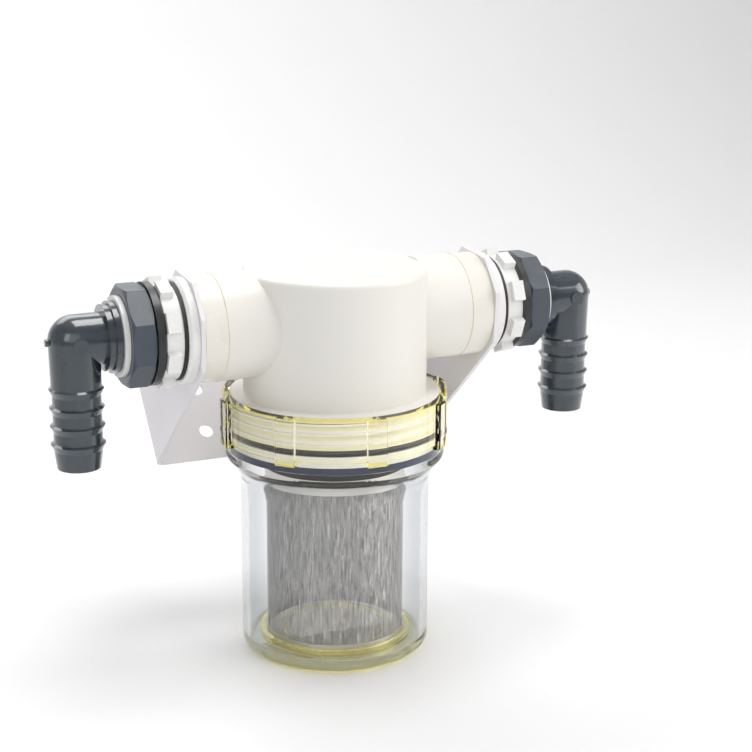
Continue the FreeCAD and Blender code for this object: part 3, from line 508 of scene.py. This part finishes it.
def wovenSteel(name, look):
    # square weave of round wire on the piece's own UV map, with long streaks where wires bunch
    material, nodes, links, shader = newMaterial(name)
    coords = nodes.new("ShaderNodeTexCoord")
    split = nodes.new("ShaderNodeSeparateXYZ")
    links.new(coords.outputs["UV"], split.inputs[0])
    wander = nodes.new("ShaderNodeTexNoise")
    wander.inputs["Scale"].default_value = look["wanderScale"]
    wander.inputs["Detail"].default_value = 3
    links.new(coords.outputs["Object"], wander.inputs["Vector"])
    drift = mathNode(nodes, links, "MULTIPLY", wander.outputs["Fac"], look["wander"])

    def wires(axis, count):
        # how far along the row of wires, and how far from the middle of the nearest one
        place = mathNode(nodes, links, "MULTIPLY", split.outputs[axis], float(count))
        along = mathNode(nodes, links, "ADD", place, drift)
        return along, mathNode(nodes, links, "PINGPONG", along, 0.5)

    warpPlace, warpAway = wires("X", look["warpCount"])
    weftPlace, weftAway = wires("Y", look["weftCount"])
    nearest = mathNode(nodes, links, "MINIMUM", warpAway, weftAway)
    covered = mathNode(nodes, links, "LESS_THAN", nearest, look["wireShare"])
    warpWave = mathNode(nodes, links, "SINE", mathNode(nodes, links, "MULTIPLY", warpPlace, math.pi))
    weftWave = mathNode(nodes, links, "SINE", mathNode(nodes, links, "MULTIPLY", weftPlace, math.pi))
    over = mathNode(nodes, links, "MULTIPLY", warpWave, weftWave)
    roundness = mathNode(nodes, links, "SUBTRACT", 0.5, nearest)
    height = mathNode(nodes, links, "ADD", over, roundness)

    stretch = nodes.new("ShaderNodeMapping")
    stretch.inputs["Scale"].default_value = look["streakStretch"]
    streaks = nodes.new("ShaderNodeTexNoise")
    streaks.inputs["Scale"].default_value = look["streakScale"]
    streaks.inputs["Detail"].default_value = 4
    links.new(coords.outputs["Object"], stretch.inputs["Vector"])
    links.new(stretch.outputs["Vector"], streaks.inputs["Vector"])
    ramp = nodes.new("ShaderNodeValToRGB")
    ramp.color_ramp.elements[0].position = look["darkBelow"]
    ramp.color_ramp.elements[0].color = look["darkWire"]
    ramp.color_ramp.elements[1].position = look["brightAbove"]
    ramp.color_ramp.elements[1].color = look["brightWire"]
    links.new(streaks.outputs["Fac"], ramp.inputs["Fac"])
    links.new(ramp.outputs["Color"], shader.inputs["Base Color"])
    bunched = rangeNode(nodes, links, streaks.outputs["Fac"], look["bunchedFrom"], look["bunchedTo"])
    closed = mathNode(nodes, links, "MAXIMUM", bunched, look["film"])
    links.new(mathNode(nodes, links, "MAXIMUM", covered, closed), shader.inputs["Alpha"])
    addBump(nodes, links, shader, height, look["bump"], look["bumpDistance"])
    shader.inputs["Metallic"].default_value = look["metallic"]
    rough = mathNode(nodes, links, "MULTIPLY", streaks.outputs["Fac"], look["roughnessChange"])
    links.new(mathNode(nodes, links, "ADD", rough, look["roughness"]), shader.inputs["Roughness"])
    return material


steelMesh = wovenSteel("steel_mesh", weaveLook)

slotMaterials = {
    "white_moulding": whiteMoulding, "white_nylon": whiteNylon, "cream_bushing": creamBushing,
    "slate_nylon": slateNylon, "slate_nut": slateNut, "black_rubber": blackRubber,
    "navy_rubber": navyRubber, "white_paint": whitePaint, "clear_moulding": clearMoulding,
    "steel_band": steelBand, "steel_mesh": steelMesh}


def giveMaterial(piece, material):
    if not piece.material_slots:
        piece.data.materials.append(material)
    for slot in piece.material_slots:
        slot.material = material


for subpart in frame["record"]["subparts"]:
    giveMaterial(frame["nodes"][subpart["node"]], slotMaterials[subpart["material_slot"]])
for sideName in ("left", "right"):  # these rings are blacker than the rest of their slot
    giveMaterial(frame["nodes"][f"dark_ring_{sideName}"], blackNylon)

# the woven wire cylinder, in place of the plain pierced wall
screenLow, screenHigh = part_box("screen_mesh")
screenSizes = {
    "outer": screenHigh.x, "wall": 0.0008, "low": screenLow.z, "high": screenHigh.z, "sides": 180,
    "smooth": 40}


def makeWovenScreen(sizes):
    deselectAll()
    tall = sizes["high"] - sizes["low"]
    bpy.ops.mesh.primitive_cylinder_add(
        vertices=sizes["sides"], radius=sizes["outer"], depth=tall, end_fill_type="NOTHING",
        location=(0, 0, sizes["low"] + tall / 2))
    screen = bpy.context.object
    screen.name = "woven_screen"
    bpy.ops.object.mode_set(mode="EDIT")
    bpy.ops.mesh.select_all(action="SELECT")
    bpy.ops.mesh.subdivide(number_cuts=1)
    bpy.ops.object.mode_set(mode="OBJECT")
    placeInMesh(screen)
    cleanNormals(screen)
    wall = screen.modifiers.new("wall", "SOLIDIFY")
    wall.thickness = sizes["wall"]
    wall.offset = -1
    applyModifiers(screen)
    smoothByAngle(screen, sizes["smooth"])
    screen.data.materials.append(steelMesh)
    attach(screen, "screen_basket")
    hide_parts("screen_mesh")


makeWovenScreen(screenSizes)
print("screen made")

# the thread on the neck of the head, above the neck's round seal
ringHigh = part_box("neck_o_ring")[1]
threadSizes = {
    "root": 0.0533, "crest": 0.0548, "rootWidth": 0.0030, "crestWidth": 0.0013, "pitch": 0.0052,
    "turns": 1.75, "land": 0.0026, "leadIn": 0.0016, "steps": 150, "smooth": 25}


def makeThread(sizes):
    deselectAll()
    depth = sizes["crest"] - sizes["root"]
    middle = sizes["root"] + depth / 2
    low = ringHigh.z + sizes["land"] + sizes["leadIn"]
    taper = sizes["crestWidth"] / sizes["rootWidth"]
    bpy.ops.mesh.primitive_plane_add(size=1, location=(0, 0, 0))
    thread = bpy.context.object
    thread.name = "neck_thread"
    bpy.ops.object.mode_set(mode="EDIT")
    bpy.ops.mesh.select_all(action="SELECT")
    bpy.ops.transform.rotate(value=math.pi / 2, orient_axis="X", center_override=(0, 0, 0))
    bpy.ops.transform.resize(value=(depth, 1, sizes["rootWidth"]), center_override=(0, 0, 0))
    bpy.ops.object.mode_set(mode="OBJECT")
    for vertex in thread.data.vertices:
        vertex.select = vertex.co.x > 0
    bpy.ops.object.mode_set(mode="EDIT")
    bpy.ops.mesh.select_mode(type="VERT")
    bpy.ops.transform.resize(value=(1, 1, taper), center_override=(0, 0, 0))
    bpy.ops.mesh.select_all(action="SELECT")
    bpy.ops.transform.translate(value=(middle, 0, low))
    bpy.ops.object.mode_set(mode="OBJECT")
    screw = thread.modifiers.new("helix", "SCREW")
    screw.angle = 2 * math.pi * sizes["turns"]
    screw.screw_offset = sizes["pitch"] * sizes["turns"]
    screw.steps = sizes["steps"]
    screw.render_steps = sizes["steps"]
    applyModifiers(thread)
    cleanNormals(thread)
    smoothByAngle(thread, sizes["smooth"])
    thread.data.materials.append(whiteMoulding)
    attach(thread, "strainer_head")


makeThread(threadSizes)
print("thread made")

# beads of cement where each bushing meets its stub and the bracket's ear
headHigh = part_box("head")[1]
bushingLow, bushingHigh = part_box("port_bushing_right")
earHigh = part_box("bracket")[1]
earInset = 0.0026  # the ear's sheet and a little more, so that the bead lies on the bushing
beadSizes = {
    "joint": headHigh.x, "ear": earHigh.x - earInset, "radius": (bushingHigh.y - bushingLow.y) / 2,
    "section": 0.00030, "portHeight": (bushingLow.z + bushingHigh.z) / 2, "sides": 128, "sectionSides": 10,
    "rippleScale": 0.006, "rippleDepth": 0.00025, "smooth": 60}


def makeBead(side, spot, sizes):
    deselectAll()
    bpy.ops.mesh.primitive_torus_add(
        major_radius=sizes["radius"], minor_radius=sizes["section"], major_segments=sizes["sides"],
        minor_segments=sizes["sectionSides"], location=(side * sizes[spot], 0, sizes["portHeight"]),
        rotation=(0, math.pi / 2, 0))
    bead = bpy.context.object
    bead.name = f"cement_bead_{spot}_" + ("right" if side > 0 else "left")
    placeInMesh(bead)
    ripple = bpy.data.textures.new("beadRipple", "CLOUDS")
    ripple.noise_scale = sizes["rippleScale"]
    uneven = bead.modifiers.new("uneven", "DISPLACE")
    uneven.texture = ripple
    uneven.strength = sizes["rippleDepth"]
    uneven.mid_level = 0.5
    applyModifiers(bead)
    cleanNormals(bead)
    smoothByAngle(bead, sizes["smooth"])
    bead.data.materials.append(cement)
    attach(bead, "strainer_head")


for side in (-1, 1):
    for spot in ("joint", "ear"):
        makeBead(side, spot, beadSizes)
print("beads made")

# floor and backdrop in one sweep
floorSizes = {"half": 2.6, "back": 1.5, "rise": 2.6, "bend": 0.7, "bendSteps": 20, "near": 0.01, "smooth": 60}
floorLook = {
    "Colour": (0.92, 0.92, 0.93, 1), "Second Colour": (0.90, 0.90, 0.91, 1), "Patch Scale": 3.0,
    "Grain Scale": 300.0, "Roughness": 0.5, "Roughness Change": 0.1}
floorBump = {"strength": 0.02, "distance": 0.0002}


def makeFloor(sizes):
    deselectAll()
    backEdge = sizes["back"] - sizes["near"]
    bpy.ops.mesh.primitive_plane_add(size=2 * sizes["half"], location=(0, sizes["back"] - sizes["half"], 0))
    floor = bpy.context.object
    floor.name = "studio_floor"
    placeInMesh(floor)
    for edge in floor.data.edges:
        edge.select = all(floor.data.vertices[v].co.y > backEdge for v in edge.vertices)
    for vertex in floor.data.vertices:
        vertex.select = vertex.co.y > backEdge
    bpy.ops.object.mode_set(mode="EDIT")
    bpy.ops.mesh.select_mode(type="EDGE")
    bpy.ops.mesh.extrude_region_move(TRANSFORM_OT_translate={"value": (0, 0, sizes["rise"])})
    bpy.ops.object.mode_set(mode="OBJECT")
    for vertex in floor.data.vertices:
        vertex.select = abs(vertex.co.y - sizes["back"]) < sizes["near"] and vertex.co.z < sizes["near"]
    for edge in floor.data.edges:
        edge.select = all(floor.data.vertices[v].select for v in edge.vertices)
    for face in floor.data.polygons:
        face.select = False
    bpy.ops.object.mode_set(mode="EDIT")
    bpy.ops.mesh.bevel(offset=sizes["bend"], segments=sizes["bendSteps"], affect="EDGES")
    bpy.ops.object.mode_set(mode="OBJECT")
    smoothByAngle(floor, sizes["smooth"])
    material, nodes, links, shader = newMaterial("studio_floor")
    mottle = placeGroup(nodes, mottleGroup, floorLook)
    links.new(mottle.outputs["Colour"], shader.inputs["Base Color"])
    links.new(mottle.outputs["Roughness"], shader.inputs["Roughness"])
    addBump(nodes, links, shader, mottle.outputs["Height"], floorBump["strength"], floorBump["distance"])
    floor.data.materials.append(material)


makeFloor(floorSizes)
print("floor made")

worldLook = {"colour": (0.97, 0.98, 1.0, 1), "strength": 1.0}
world = bpy.data.worlds.new("studioWorld")
bpy.context.scene.world = world
world.use_nodes = True
world.node_tree.nodes["Background"].inputs["Color"].default_value = worldLook["colour"]
world.node_tree.nodes["Background"].inputs["Strength"].default_value = worldLook["strength"]

# every light points at the strainer; sizes in metres, power in watts
aimPoint = (0, 0, 0.12)
warmWhite = (1.0, 0.99, 0.97)
lightLooks = {
    "top_light": {
        "place": (0.2, 0.05, 1.6), "size": (0.8, 0.7), "power": 11, "colour": warmWhite},
    "right_light": {
        "place": (1.25, -0.75, 0.7), "size": (0.9, 0.9), "power": 10.5, "colour": warmWhite},
    "left_light": {
        "place": (-1.1, -0.9, 0.75), "size": (0.5, 0.8), "power": 3.0, "colour": (0.96, 0.98, 1.0)},
    "front_light": {
        "place": (-0.5, -1.6, 0.85), "size": (1.6, 1.2), "power": 5.5, "colour": (1.0, 0.985, 0.965)},
    "back_light": {
        "place": (-0.2, 1.2, 1.3), "size": (1.4, 0.8), "power": 9, "colour": (1.0, 1.0, 1.0)}}


def addLight(name, look):
    deselectAll()
    bpy.ops.object.light_add(type="AREA", location=look["place"])
    light = bpy.context.object
    light.name = name
    light.data.shape = "RECTANGLE"
    light.data.size, light.data.size_y = look["size"]
    light.data.energy = look["power"]
    light.data.color = look["colour"]
    aim = Vector(aimPoint) - Vector(look["place"])
    light.rotation_mode = "QUATERNION"
    light.rotation_quaternion = aim.to_track_quat("-Z", "Y")


for lightName, lightLook in lightLooks.items():
    addLight(lightName, lightLook)
print("lights made:", len(lightLooks))

# place of the lens, and the directions of the view's right, up and back
cameraSizes = {
    "place": (-0.33109391, -0.79262247, 0.38234724),
    "right": (0.91332398, -0.40719814, 0.00538347),
    "up": (0.10244670, 0.24253686, 0.96471786),
    "back": (-0.39413701, -0.88054844, 0.26323083),
    "lens": 81.379, "sensor": 36, "near": 0.02, "far": 30}
camera = bpy.data.objects.new("camera", bpy.data.cameras.new("camera"))
bpy.context.collection.objects.link(camera)
turn = Matrix((cameraSizes["right"], cameraSizes["up"], cameraSizes["back"])).transposed()
camera.matrix_world = Matrix.Translation(cameraSizes["place"]) @ turn.to_4x4()
camera.data.sensor_width = cameraSizes["sensor"]
camera.data.lens = cameraSizes["lens"]
camera.data.clip_start = cameraSizes["near"]
camera.data.clip_end = cameraSizes["far"]
bpy.context.scene.camera = camera
bpy.context.scene.view_settings.view_transform = "Standard"
print("camera set")

print("scene ready")
